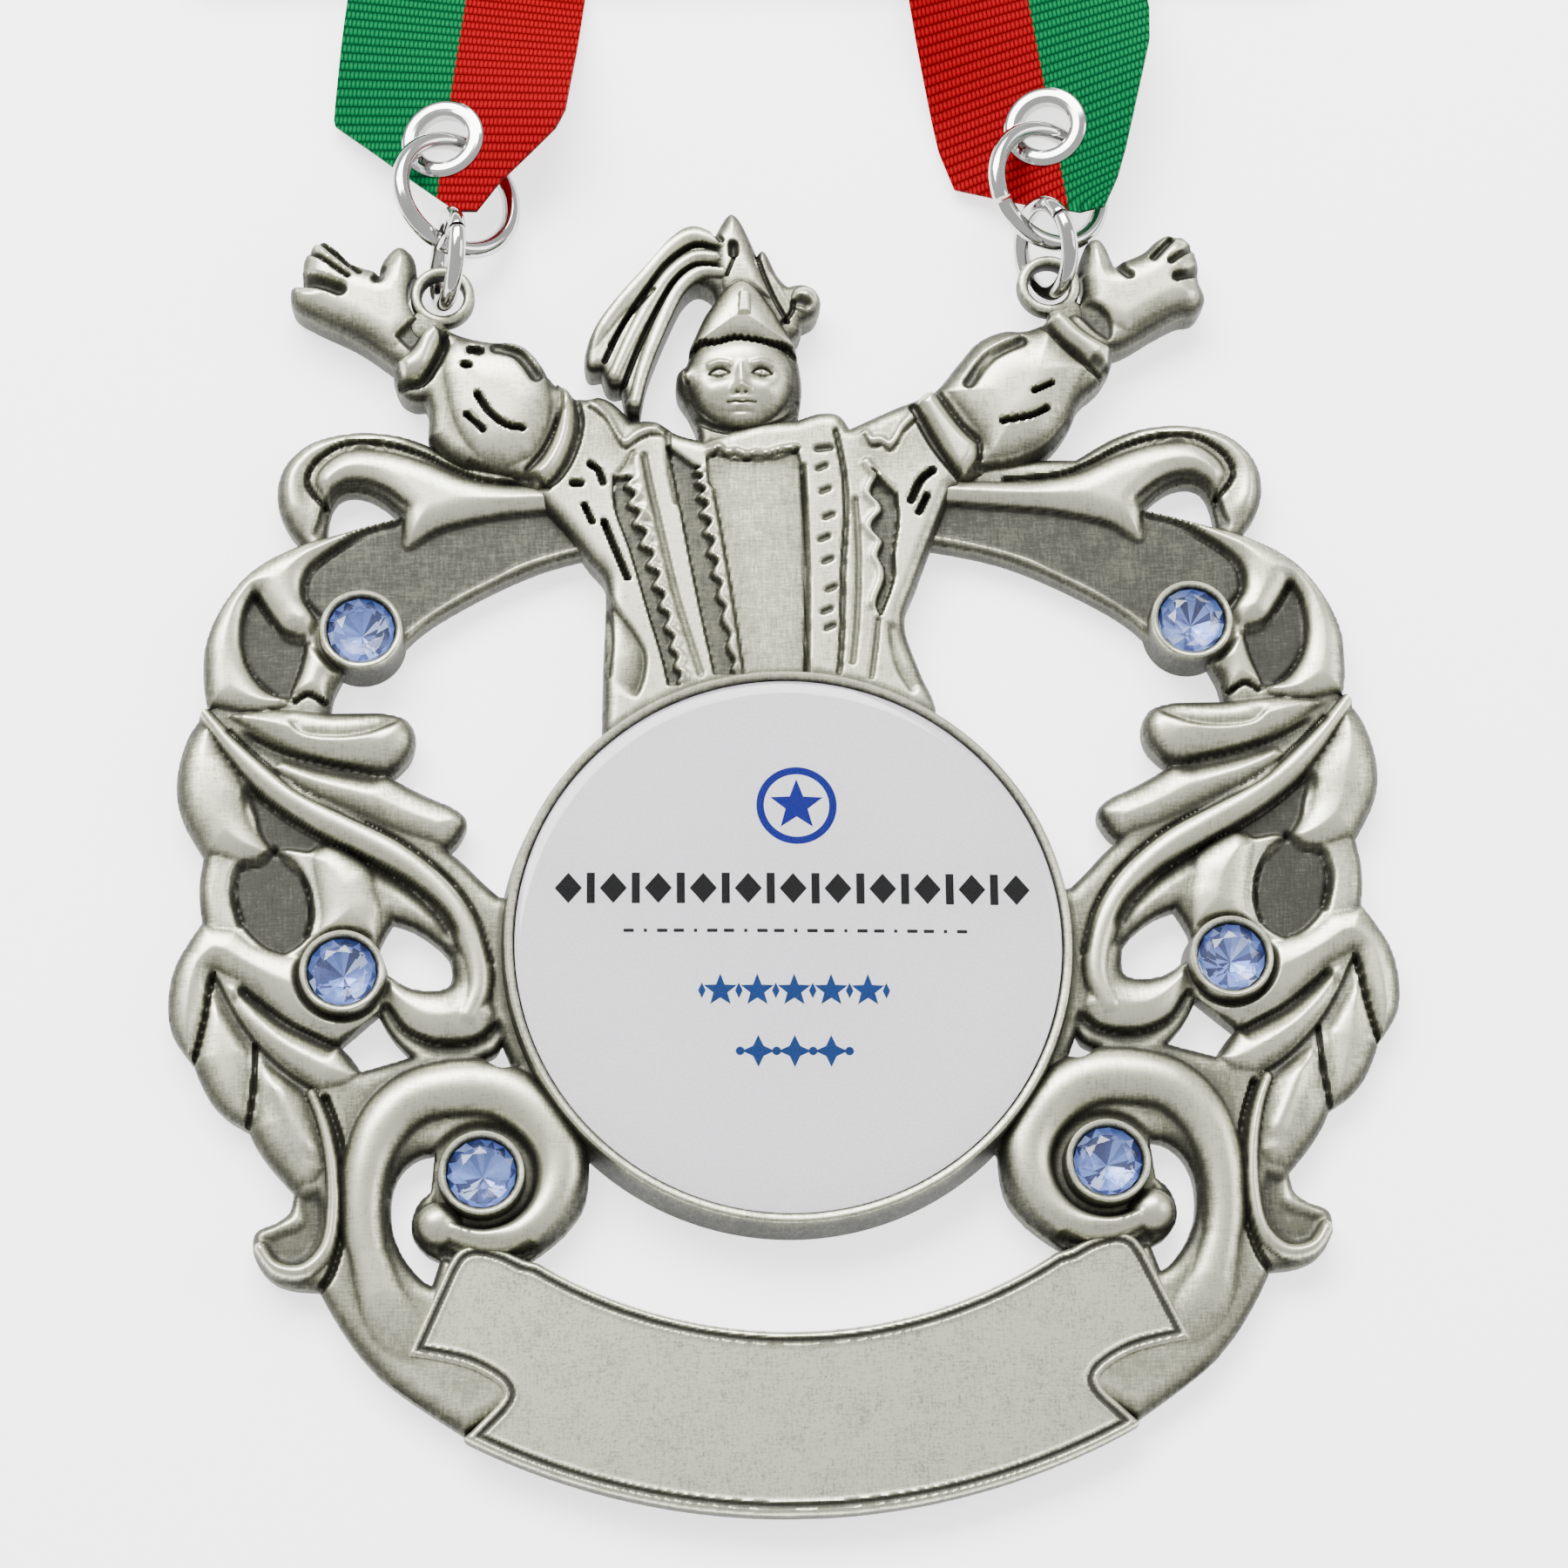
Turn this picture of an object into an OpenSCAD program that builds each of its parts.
// Carnival order: a large cast medal on a two-colour neck ribbon.
// The casting lies face up on its flat back. The origin is the centre of the
// medallion's back, +X is to the right, +Y is towards the ribbon and +Z is up.

/* [Medallion] */
// Radius of the domed emblem
dome_r = 25; // [24.8:0.05:25]
// Height of the resin dome above its own edge
dome_rise = 1.3; // [0.8:0.1:2]
// Radius of the cup that holds the emblem, at its rim
cup_r = 26; // [25.8:0.1:26.4]
// Height of the cup's rim above the table
cup_h = 5.2; // [4.8:0.1:5.6]

/* [Casting] */
// Thickness of the leaf wreath
wreath_t = 3.6; // [3:0.1:4]
// Thickness of the figure
figure_t = 4.2; // [3.6:0.1:4.4]
// Thickness of the name banner
banner_t = 3; // [2.6:0.1:3.4]
// Depth of the leaf hollows and of the banner field
hollow_d = 1; // [0.4:0.1:1.4]

/* [Stones] */
// Girdle diameter of a faceted stone
stone_d = 6.2; // [6:0.1:6.3]
// Outer diameter of a stone cup
stone_cup_d = 7.7; // [7.5:0.1:7.9]
// Height of the stone cups above the table
stone_cup_h = 5; // [4.8:0.1:5.4]

/* [Rings and eyelets] */
// Wire diameter of the small rings
small_wire_d = 1.6; // [1.4:0.05:1.6]
// Centreline radius of the small rings
small_ring_r = 4.3; // [4.25:0.05:4.35]
// Wire diameter of the large rings
large_wire_d = 1.7; // [1.5:0.05:1.7]
// Centreline radius of the large rings
large_ring_r = 5.9; // [5.85:0.05:5.95]
// Hole radius of the ribbon eyelets
eyelet_hole_r = 2.4; // [2.3:0.05:2.5]

/* [Ribbon] */
// Width of the ribbon
ribbon_w = 23; // [22:0.5:23.5]
// Thickness of the ribbon
ribbon_t = 0.5; // [0.4:0.05:0.5]
// Length of the folded bundle
bundle_len = 110; // [90:1:130]
// Number of ribbon layers in the bundle
bundle_layers = 7; // [5:2:9]

/* [Hidden] */
$fn = 64;
eps = 0.01;

nickel = "#8f8f86";
bright = "#d8d8d8";
stone_blue = "#6f86c8";
disc_t = 0.3;
cup_floor = 4.2;
cup_draft = 0.6;
stone_floor = 2.2;
stone_spots = [[38.8, 30.6], [40.6, -2], [28.2, -20.8]];
stone_draft = 0.25;
loop_r = 3.05;
loop_hole_r = 2;
loop_low = 2.2;
loop_high = 4.2;
loop_left = [-31, 64.3];
loop_right = [27.1, 65];
ring_gap = 4;

// One side's rings and eyelet: centres in mm, then the angles that lay them down.
small_left = [-30.5, 67.5, 5.2];
small_left_turn = [0, -76, -2];
large_left = [-29.6, 74.8, 3.75];
large_left_dir = 104;
large_left_tilt = 28;
small_right = [26.8, 68.3, 4.9];
small_right_turn = [0, -68, 13.5];
large_right = [27.6, 75.4, 3.7];
large_right_dir = 91.5;
large_right_tilt = 26;
eye_left = [-30.8, 80.6];
eye_right = [27.6, 81.6];

// Each ribbon end: a point on its centre line, its lean, its twist and its height.
strand_left_ref = [-30.4, 82];
strand_right_ref = [28.2, 82];
strand_lean = 7.5;
twist_left = 14;
twist_right = 17;
end_z_left = 3.7;
end_z_right = 3.9;

bundle_y0 = 100.5;
layer_pitch = 0.55;
bundle_h = bundle_layers * layer_pitch;
band_w = 12;
band_t = 0.25;

// --- smooth outlines -------------------------------------------------------
function at(v, i) = v[max(0, min(len(v) - 1, i))];
function knot(p0, p1, p2, p3, t) =
    0.5 * (2 * p1 + (p2 - p0) * t + (2 * p0 - 5 * p1 + 4 * p2 - p3) * t * t
    + (3 * p1 - p0 - 3 * p2 + p3) * t * t * t);
// A smooth stretch through its points. It leaves out the last one, where the
// next stretch starts with a corner.
function bend(v, n = 3) = [
    for (i = [0:len(v) - 2], k = [0:n - 1])
        knot(at(v, i - 1), v[i], v[i + 1], at(v, i + 2), k / n)
];
function ring_of(stretches) = [for (s = stretches) for (p = bend(s)) p];
function arc(c, r, a0, a1, n) = [
    for (i = [0:n]) c + r * [cos(a0 + (a1 - a0) * i / n), sin(a0 + (a1 - a0) * i / n)]
];

// --- wreath: the right half, from the upper scroll round to the banner -----
wreath_edge = ring_of([
    [[29, 47.5], [33, 49.8], [36.5, 50.7], [40, 50.8], [43.5, 49.9], [45.8, 47.8],
        [46.6, 45], [46, 42.2], [44.4, 39.8]],
    [[44.4, 39.8], [47.5, 38.3], [49.8, 36.3], [51.8, 33.5], [52.9, 30.8], [53.4, 28],
        [53.2, 25.2], [52.9, 23.6]],
    [[52.9, 23.6], [54.5, 21.5], [55.5, 18.5], [55.7, 15.5], [55, 12.8], [53.2, 9.6]],
    [[53.2, 9.6], [53.6, 6.5], [53.3, 3.3]],
    [[53.3, 3.3], [54.5, 1.5], [55.8, -1], [56.3, -4], [55.9, -7], [54, -9.8]],
    [[54, -9.8], [52.9, -12.4], [51.4, -14.4], [49, -16]],
    [[49, -16], [48.3, -17.5], [47, -19.4], [44.9, -21.8]],
    [[44.9, -21.8], [45.3, -23.6], [46.6, -24.6], [48.3, -25.4], [48.5, -27.2],
        [47.3, -29.3], [45.4, -30.3], [42.7, -30.6]],
    [[42.7, -30.6], [41.3, -33.2], [39.4, -36.1], [37, -38.8], [34, -41.1], [30, -43.8]],
    [[30, -43.8], [24, -40], [20, -33]],
    [[20, -33], [24.6, -28.6]],
    [[24.6, -28.6], [23, -27.6], [21, -26], [19.4, -24], [18.8, -22], [18.6, -19.4]],
    [[18.6, -19.4], [14, -14], [14, 2], [26.4, 5.3]],
    [[26.4, 5.3], [28, 6.8], [29.5, 8.4], [31.1, 9.8]],
    [[31.1, 9.8], [30.2, 10.6], [29.4, 12], [29.5, 13], [30.8, 14], [33, 15], [36.4, 16.9]],
    [[36.4, 16.9], [35.2, 17.9], [34.2, 19.3], [34, 21], [34.8, 22.4], [36.5, 23],
        [39, 23.1], [41.8, 23.1]],
    [[41.8, 23.1], [41.5, 25], [40.6, 27]],
    [[40.6, 27], [36, 28.4]],
    [[36, 28.4], [34.5, 30.3], [32.5, 32], [30, 33.6], [26.5, 35.5], [23, 37.1],
        [20, 38], [16, 37.6]],
    [[16, 37.6], [14, 44], [20, 48], [29, 47.5]]
]);
scroll_hole = ring_of([
    [[42.1, 40.4], [41.9, 42.6], [41.2, 44.4], [40, 45.1], [38.3, 44.9], [36.6, 43.9],
        [35, 42.4]],
    [[35, 42.4], [38.5, 41.4], [42.1, 40.4]]
]);
stem_hole = ring_of([
    [[36.1, 3.3], [34.2, 2.6], [32, 1], [30.8, -0.6], [30.7, -2.6], [31.8, -3.4],
        [34.5, -3.2], [36.9, -1.7]],
    [[36.9, -1.7], [37.4, 0.6], [36.1, 3.3]]
]);
leaf_gap = ring_of([
    [[37.4, -5.3], [36.2, -7.5], [34.4, -9.6]],
    [[34.4, -9.6], [36.5, -10.2], [39, -10.9]],
    [[39, -10.9], [40, -9.5], [41, -8.4]],
    [[41, -8.4], [37.4, -5.3]]
]);
small_gap = ring_of([
    [[28.2, -9.9], [26.9, -9.3], [26.2, -8.2]],
    [[26.2, -8.2], [25.2, -10.8]],
    [[25.2, -10.8], [26.6, -11], [28.2, -9.9]]
]);
curl_hole = ring_of([
    [[32.3, -18.3], [34.1, -18.8], [35.6, -20.2], [36.4, -22.5], [36.3, -25.5],
        [35.3, -28], [33.8, -29.9], [32.7, -30.6]],
    [[32.7, -30.6], [31.9, -28.2]],
    [[31.9, -28.2], [33.3, -27.4], [34.3, -26], [34.4, -24.5], [33.8, -23], [32.7, -22]],
    [[32.7, -22], [32.3, -18.3]]
]);
leaf_hollow = ring_of([
    [[48.6, 34.7], [49.5, 33], [49.7, 30], [49.2, 27.4], [47.6, 25.2], [45.4, 24.6]],
    [[45.4, 24.6], [44.2, 27], [43.6, 29.9], [46, 30.6], [47.3, 32.6], [48.6, 34.7]]
]);
bud_hollow = ring_of([
    [[46.8, 9.9], [49.9, 8.4], [50.5, 6], [49.9, 3.2], [48, 1], [46, 0]],
    [[46, 0], [44, 1.4], [43.4, 4], [44, 7], [46.8, 9.9]]
]);
band_hollow = ring_of([
    [[34.9, 41.6], [38.5, 40.5], [41.7, 38.7], [43.8, 36.4], [44, 34], [42.9, 32]],
    [[42.9, 32], [38, 30], [35.8, 30.6], [33, 33], [28, 35.9], [22, 38.6]],
    [[22, 38.6], [22.4, 41], [24, 42.3], [29, 41.8], [34.9, 39.6], [34.9, 41.6]]
]);

// --- figure: body with both arms, then the head with hat and plume ---------
body_edge = ring_of([
    [[-35.4, 57.2], [-35.6, 56.2], [-35, 54.6], [-33.8, 53.8], [-32.7, 53.8]],
    [[-32.7, 53.8], [-32.3, 52.3], [-32.4, 50]],
    [[-32.4, 50], [-28, 46.6], [-22.6, 44.6], [-21.4, 42.6], [-19.4, 40.2], [-17.4, 37.4],
        [-16, 35.4], [-16, 32], [-16.3, 27], [-16.6, 19]],
    [[-16.6, 19], [14, 19]],
    [[14, 19], [14.4, 22.6], [13, 26.4], [11.8, 31], [13.2, 35], [15, 39.6], [16.8, 44]],
    [[16.8, 44], [20, 45.9], [23.5, 46.7], [26.5, 48.4], [28.3, 50.6], [29.2, 52.6]],
    [[29.2, 52.6], [30, 53.6], [31.6, 55], [32.6, 56.6], [32.8, 58.2]],
    [[32.8, 58.2], [34.6, 58.9], [37.2, 60.5], [39.5, 61.7], [41.2, 62.1], [42.1, 63.6],
        [41.6, 65.3]],
    [[41.6, 65.3], [41.6, 68], [40.8, 69.6], [38.9, 70], [36.6, 68.5], [33.4, 67.1]],
    [[33.4, 67.1], [33, 68.8], [32.2, 69.7], [31.3, 69.4], [30.3, 67], [29.7, 63]],
    [[29.7, 63], [27.6, 61.6], [24.8, 60.4], [22.4, 60.3], [20, 59.2], [18, 56.9],
        [15.6, 54.2], [11.5, 52.4], [7.4, 50.5]],
    [[7.4, 50.5], [6.4, 51.9], [4.6, 52.1], [2.4, 51.4]],
    [[2.4, 51.4], [-2, 51], [-6.6, 49.4]],
    [[-6.6, 49.4], [-9, 50.1], [-11, 51.4], [-13.3, 51.4]],
    [[-13.3, 51.4], [-14.6, 53], [-16.2, 53.9], [-18.2, 53.8], [-21.2, 55.8]],
    [[-21.2, 55.8], [-22.2, 57.9], [-24, 59.4], [-27, 59.7], [-30, 60.6], [-33, 62.6]],
    [[-33, 62.6], [-33.4, 65.6], [-33.8, 68.4], [-35.1, 69.4], [-36.4, 68.4], [-37, 66.9]],
    [[-37, 66.9], [-39.6, 67.8], [-41.4, 69.3], [-42.7, 70], [-43.9, 68.8], [-44.1, 65.7]],
    [[-44.1, 65.7], [-45.3, 65.2], [-45, 63.4], [-43, 62], [-39, 59.9], [-35.4, 57.2]]
]);
head_edge = ring_of([
    [[-6.8, 49], [-7.2, 51], [-7.9, 53], [-8.8, 55], [-8.5, 56.8], [-7.5, 58.8]],
    [[-7.5, 58.8], [-6.4, 61.2], [-4.9, 63.4]],
    [[-4.9, 63.4], [-5.4, 64.8], [-6.6, 65.4], [-8, 64.3], [-9.2, 62], [-10.7, 58.5],
        [-11.8, 55.4], [-12.5, 52.1]],
    [[-12.5, 52.1], [-13.6, 52.4], [-14.1, 55]],
    [[-14.1, 55], [-15.2, 54.9], [-16, 56.7]],
    [[-16, 56.7], [-17.1, 56.5], [-17.5, 58], [-16.4, 61], [-14.2, 64], [-11.4, 67.2],
        [-9, 70], [-7, 71.2], [-4.9, 70.2]],
    [[-4.9, 70.2], [-4, 71.6], [-3.2, 72.6]],
    [[-3.2, 72.6], [-2, 71], [-0.9, 68.2]],
    [[-0.9, 68.2], [-0.3, 68.7], [0.7, 66.6], [2, 65]],
    [[2, 65], [3.6, 65.1], [4.9, 63.6], [4.3, 62.1], [3.1, 61.2], [2.4, 59.6]],
    [[2.4, 59.6], [2.7, 57], [2.9, 54.6], [2.7, 52.6], [2, 49]],
    [[2, 49], [-6.8, 49]]
]);

// --- banner: two long arcs between notched ends ----------------------------
banner_top_c = [0, 8.7];
banner_top_r = 44.2;
banner_low_c = [0, 13];
banner_low_r = 64.7;
banner_side = [
    [-24.6, -28.5], [-26.6, -27.5], [-28.8, -27], [-30.4, -27.6], [-31.4, -29], [-35, -36.9],
    [-32.2, -37.4], [-29.6, -38.1], [-27.4, -39.3], [-26.5, -40.4], [-27.1, -41.5], [-30, -44.3]
];
banner_edge = concat(
    banner_side,
    arc(banner_low_c, banner_low_r, 245, 295, 24),
    [for (i = [len(banner_side) - 1:-1:0]) [-banner_side[i][0], banner_side[i][1]]],
    arc(banner_top_c, banner_top_r, 301, 239, 20)
);

module mirrored() {
    children();
    mirror([1, 0, 0]) children();
}

module wreath_half() {
    difference() {
        linear_extrude(wreath_t) difference() {
            polygon(wreath_edge);
            polygon(scroll_hole);
            polygon(stem_hole);
            polygon(leaf_gap);
            polygon(small_gap);
            polygon(curl_hole);
        }
        translate([0, 0, wreath_t - hollow_d]) linear_extrude(hollow_d + 1) union() {
            polygon(leaf_hollow);
            polygon(bud_hollow);
            polygon(band_hollow);
        }
    }
}

module figure_plate() {
    linear_extrude(figure_t) polygon(body_edge);
    linear_extrude(figure_t) polygon(head_edge);
    // small leaf end that shows beside the right sleeve
    translate([29.8, 50.8, 0]) cylinder(r = 1.8, h = wreath_t);
    // raised face and cap
    translate([-2.6, 54.6, figure_t - eps]) cylinder(r1 = 4.9, r2 = 3.6, h = 0.8);
    translate([-2.6, 59.6, figure_t - eps]) cylinder(r1 = 4.4, r2 = 2.6, h = 0.6);
}

module coat_folds() {
    // grooves between the coat panels
    for (x = [-13.6, -10.6, -7.3, 5.4, 8.6]) {
        translate([x, 36, figure_t]) rotate([0, 0, x * 0.9]) cube([0.7, 19, 1], center = true);
    }
    // plain front panel, a little sunk
    translate([-1.4, 37, figure_t]) cube([6.6, 19, 0.6], center = true);
}

module banner_plate() {
    linear_extrude(banner_t) polygon(banner_edge);
}

module stone_cup(p) {
    rim_r = stone_cup_d / 2;
    translate([p[0], p[1], 0]) cylinder(r1 = rim_r + stone_draft, r2 = rim_r, h = stone_cup_h);
}

module stone_pocket(p) {
    translate([p[0], p[1], stone_floor]) cylinder(d = stone_d + 0.1, h = stone_cup_h);
}

module loop_body(p, reach) {
    translate([p[0], p[1], loop_low]) cylinder(r = loop_r, h = loop_high - loop_low);
    translate([p[0] + reach[0], p[1] + reach[1], loop_low]) {
        cylinder(r = 1.8, h = loop_high - loop_low);
    }
}

module loop_hole(p) {
    translate([p[0], p[1], -1]) cylinder(r = loop_hole_r, h = 9);
}

module under_loop(p) {
    // clear room under and over the loop, so that the ring can pass through it
    translate([p[0], p[1], -1]) cylinder(r = loop_r + 0.45, h = 1 + loop_low);
    translate([p[0], p[1], loop_high]) cylinder(r = loop_r + 0.45, h = 2);
}

module medal_casting() color(nickel) {
    difference() {
        union() {
            mirrored() wreath_half();
            figure_plate();
            banner_plate();
            cylinder(r1 = cup_r + cup_draft, r2 = cup_r, h = cup_h);
            for (p = stone_spots) mirrored() stone_cup(p);
        }
        translate([0, 0, cup_floor]) cylinder(r = dome_r + 0.05, h = 3);
        for (p = stone_spots) mirrored() stone_pocket(p);
        coat_folds();
        under_loop(loop_left);
        under_loop(loop_right);
        loop_hole(loop_left);
        loop_hole(loop_right);
    }
    difference() {
        union() {
            loop_body(loop_left, [-1.2, -2.2]);
            loop_body(loop_right, [1.2, -2.2]);
        }
        loop_hole(loop_left);
        loop_hole(loop_right);
    }
}

module printed_disc() color("white") {
    translate([0, 0, cup_floor]) cylinder(r = dome_r, h = disc_t);
}

module resin_dome() color([0.95, 0.95, 1, 0.5]) {
    edge = 0.5;
    sphere_r = (dome_r * dome_r + dome_rise * dome_rise) / (2 * dome_rise);
    foot = cup_floor + disc_t;
    crown = asin(dome_r / sphere_r);
    translate([0, 0, foot]) rotate_extrude() polygon(concat(
        [[0, 0], [dome_r, 0], [dome_r, edge]],
        [for (i = [9:-1:0]) let (a = crown * i / 10)
            [sphere_r * sin(a), edge + dome_rise - sphere_r * (1 - cos(a))]]
    ));
}

module stone(i, side) color(stone_blue) {
    p = stone_spots[i];
    translate([side * p[0], p[1], stone_floor]) {
        cylinder(r1 = 0.5, r2 = stone_d / 2, h = 2);
        translate([0, 0, 2]) cylinder(d = stone_d, h = 0.3);
        translate([0, 0, 2.3]) cylinder(r1 = stone_d / 2, r2 = 1.8, h = 0.9);
    }
}

// A jump ring, cut once so that it can be opened.
module jump_ring(r, wire_d, cut_at) color(bright) {
    rotate([0, 0, cut_at + ring_gap / 2]) rotate_extrude(angle = 360 - ring_gap) {
        translate([r, 0]) circle(d = wire_d);
    }
}

module large_ring(at_point, dir, tilt, cut_at) {
    translate(at_point) rotate(a = tilt, v = [cos(dir), sin(dir), 0]) {
        jump_ring(large_ring_r, large_wire_d, cut_at);
    }
}

// Places children in the plane of one ribbon end. side is -1 or 1.
function lean_of(side) = side * strand_lean;
function ref_of(side) = side < 0 ? strand_left_ref : strand_right_ref;
function twist_of(side) = side < 0 ? twist_left : twist_right;
function end_z_of(side) = side < 0 ? end_z_left : end_z_right;
function eye_of(side) = side < 0 ? eye_left : eye_right;
function across(side) = [cos(lean_of(side)), sin(lean_of(side))];
function along(side) = [-sin(lean_of(side)), cos(lean_of(side))];
function eye_z(side) =
    end_z_of(side) + ((eye_of(side) - ref_of(side)) * across(side)) * tan(twist_of(side));

module in_end_plane(side) {
    e = eye_of(side);
    translate([e[0], e[1], eye_z(side)]) rotate([0, 0, lean_of(side)]) {
        rotate([0, -twist_of(side), 0]) children();
    }
}

module eyelet(side) color(bright) {
    top = ribbon_t / 2;
    in_end_plane(side) rotate_extrude() polygon(concat(
        [[eyelet_hole_r, -0.65], [2.8, -0.65], [2.8, top], [4.1, top]],
        [for (a = [20:20:160]) [3.25 + 0.85 * cos(a), top + 0.36 * sin(a)]],
        [[eyelet_hole_r, top - 0.05]]
    ));
}

module eyelet_washer(side) color(bright) {
    in_end_plane(side) rotate_extrude() polygon([
        [2.8, -ribbon_t / 2 - 0.3], [4, -ribbon_t / 2 - 0.3], [4.1, -ribbon_t / 2 - 0.15],
        [4.1, -ribbon_t / 2], [2.8, -ribbon_t / 2]
    ]);
}

// --- ribbon: sections of one strand, from its pointed end to the bundle -----
// Each row is the distance along the strand, the left and right edges, the
// share of the end's twist that is left, and the height of the centre line.
left_rows = [
    [-8.9, 2, 4, 1, 3.7], [-5.7, -2.9, 6, 1, 3.7], [-2.9, -7, 8.4, 1, 3.7],
    [0, -11.4, 10.8, 1, 3.7], [2, -11.5, 11.5, 0.95, 3.7], [6, -11.5, 11.5, 0.7, 3.3],
    [10, -11.5, 11.5, 0.35, 2.4], [14, -11.5, 11.5, 0.1, 1.5], [18, -11.5, 11.5, 0, 0.8],
    [23, -11.5, 11.5, 0, 0.8]
];
right_rows = [
    [-9.8, 1, 3.4, 1, 3.9], [-7.2, -5, 5.2, 1, 3.9], [-4.3, -10.6, 6.6, 1, 3.9],
    [-0.2, -11.4, 8.3, 1, 3.9], [3, -11.5, 9.6, 0.95, 3.9], [6.5, -11.5, 10.9, 0.75, 3.9],
    [10, -11.5, 11.5, 0.5, 3.9], [14, -11.5, 11.5, 0.2, 3.9], [18, -11.5, 11.5, 0, 3.8],
    [23, -11.5, 11.5, 0, 3.6]
];
function rows_of(side) = side < 0 ? left_rows : right_rows;
function corner(side, row, v, lift) = let (
    tw = twist_of(side) * row[3],
    c = ref_of(side) + row[0] * along(side) + v * cos(tw) * across(side)
        - lift * sin(tw) * across(side)
) [c[0], c[1], row[4] + v * sin(tw) + lift * cos(tw)];

module strand(side) {
    rows = rows_of(side);
    h = ribbon_t / 2;
    n = len(rows);
    pts = [for (r = rows) each [
        corner(side, r, r[1], -h), corner(side, r, r[2], -h),
        corner(side, r, r[2], h), corner(side, r, r[1], h)
    ]];
    // The top and bottom of a twisted stretch are split along the same diagonal.
    sides = [for (i = [0:n - 2], k = [0:3]) let (a = 4 * i + k, b = 4 * i + (k + 1) % 4)
        each k == 2 ? [[a, b, b + 4], [a, b + 4, a + 4]] : [[a, b, a + 4], [b, b + 4, a + 4]]];
    last = 4 * n - 4;
    ends = [[0, 2, 1], [0, 3, 2], [last, last + 1, last + 2], [last, last + 2, last + 3]];
    difference() {
        polyhedron(points = pts, faces = concat(sides, ends));
        in_end_plane(side) cylinder(r = 2.8, h = 6, center = true);
    }
}

module bundle_block(length) {
    translate([0, bundle_y0 + ribbon_w / 2, band_t + bundle_h / 2]) {
        cube([length, ribbon_w, bundle_h], center = true);
    }
}

module neck_ribbon() color("#1f9a5c") {
    strand(-1);
    strand(1);
    bundle_block(bundle_len);
}

module storage_band() color("white") {
    difference() {
        translate([0, bundle_y0 + ribbon_w / 2, band_t + bundle_h / 2]) {
            cube([band_w, ribbon_w + 2 * band_t, bundle_h + 2 * band_t], center = true);
        }
        bundle_block(band_w + 2);
    }
}

medal_casting();
printed_disc();
resin_dome();
stone(0, -1);  // stone_upper_left
stone(0, 1);  // stone_upper_right
stone(1, -1);  // stone_middle_left
stone(1, 1);  // stone_middle_right
stone(2, -1);  // stone_lower_left
stone(2, 1);  // stone_lower_right
union() {  // small_ring_left
    translate(small_left) rotate(small_left_turn) jump_ring(small_ring_r, small_wire_d, 20);
}
union() {  // small_ring_right
    translate(small_right) rotate(small_right_turn) jump_ring(small_ring_r, small_wire_d, 20);
}
union() {  // large_ring_left
    large_ring(large_left, large_left_dir, large_left_tilt, 250);
}
union() {  // large_ring_right
    large_ring(large_right, large_right_dir, large_right_tilt, 205);
}
eyelet(-1);  // eyelet_left
eyelet(1);  // eyelet_right
eyelet_washer(-1);  // eyelet_washer_left
eyelet_washer(1);  // eyelet_washer_right
neck_ribbon();
storage_band();
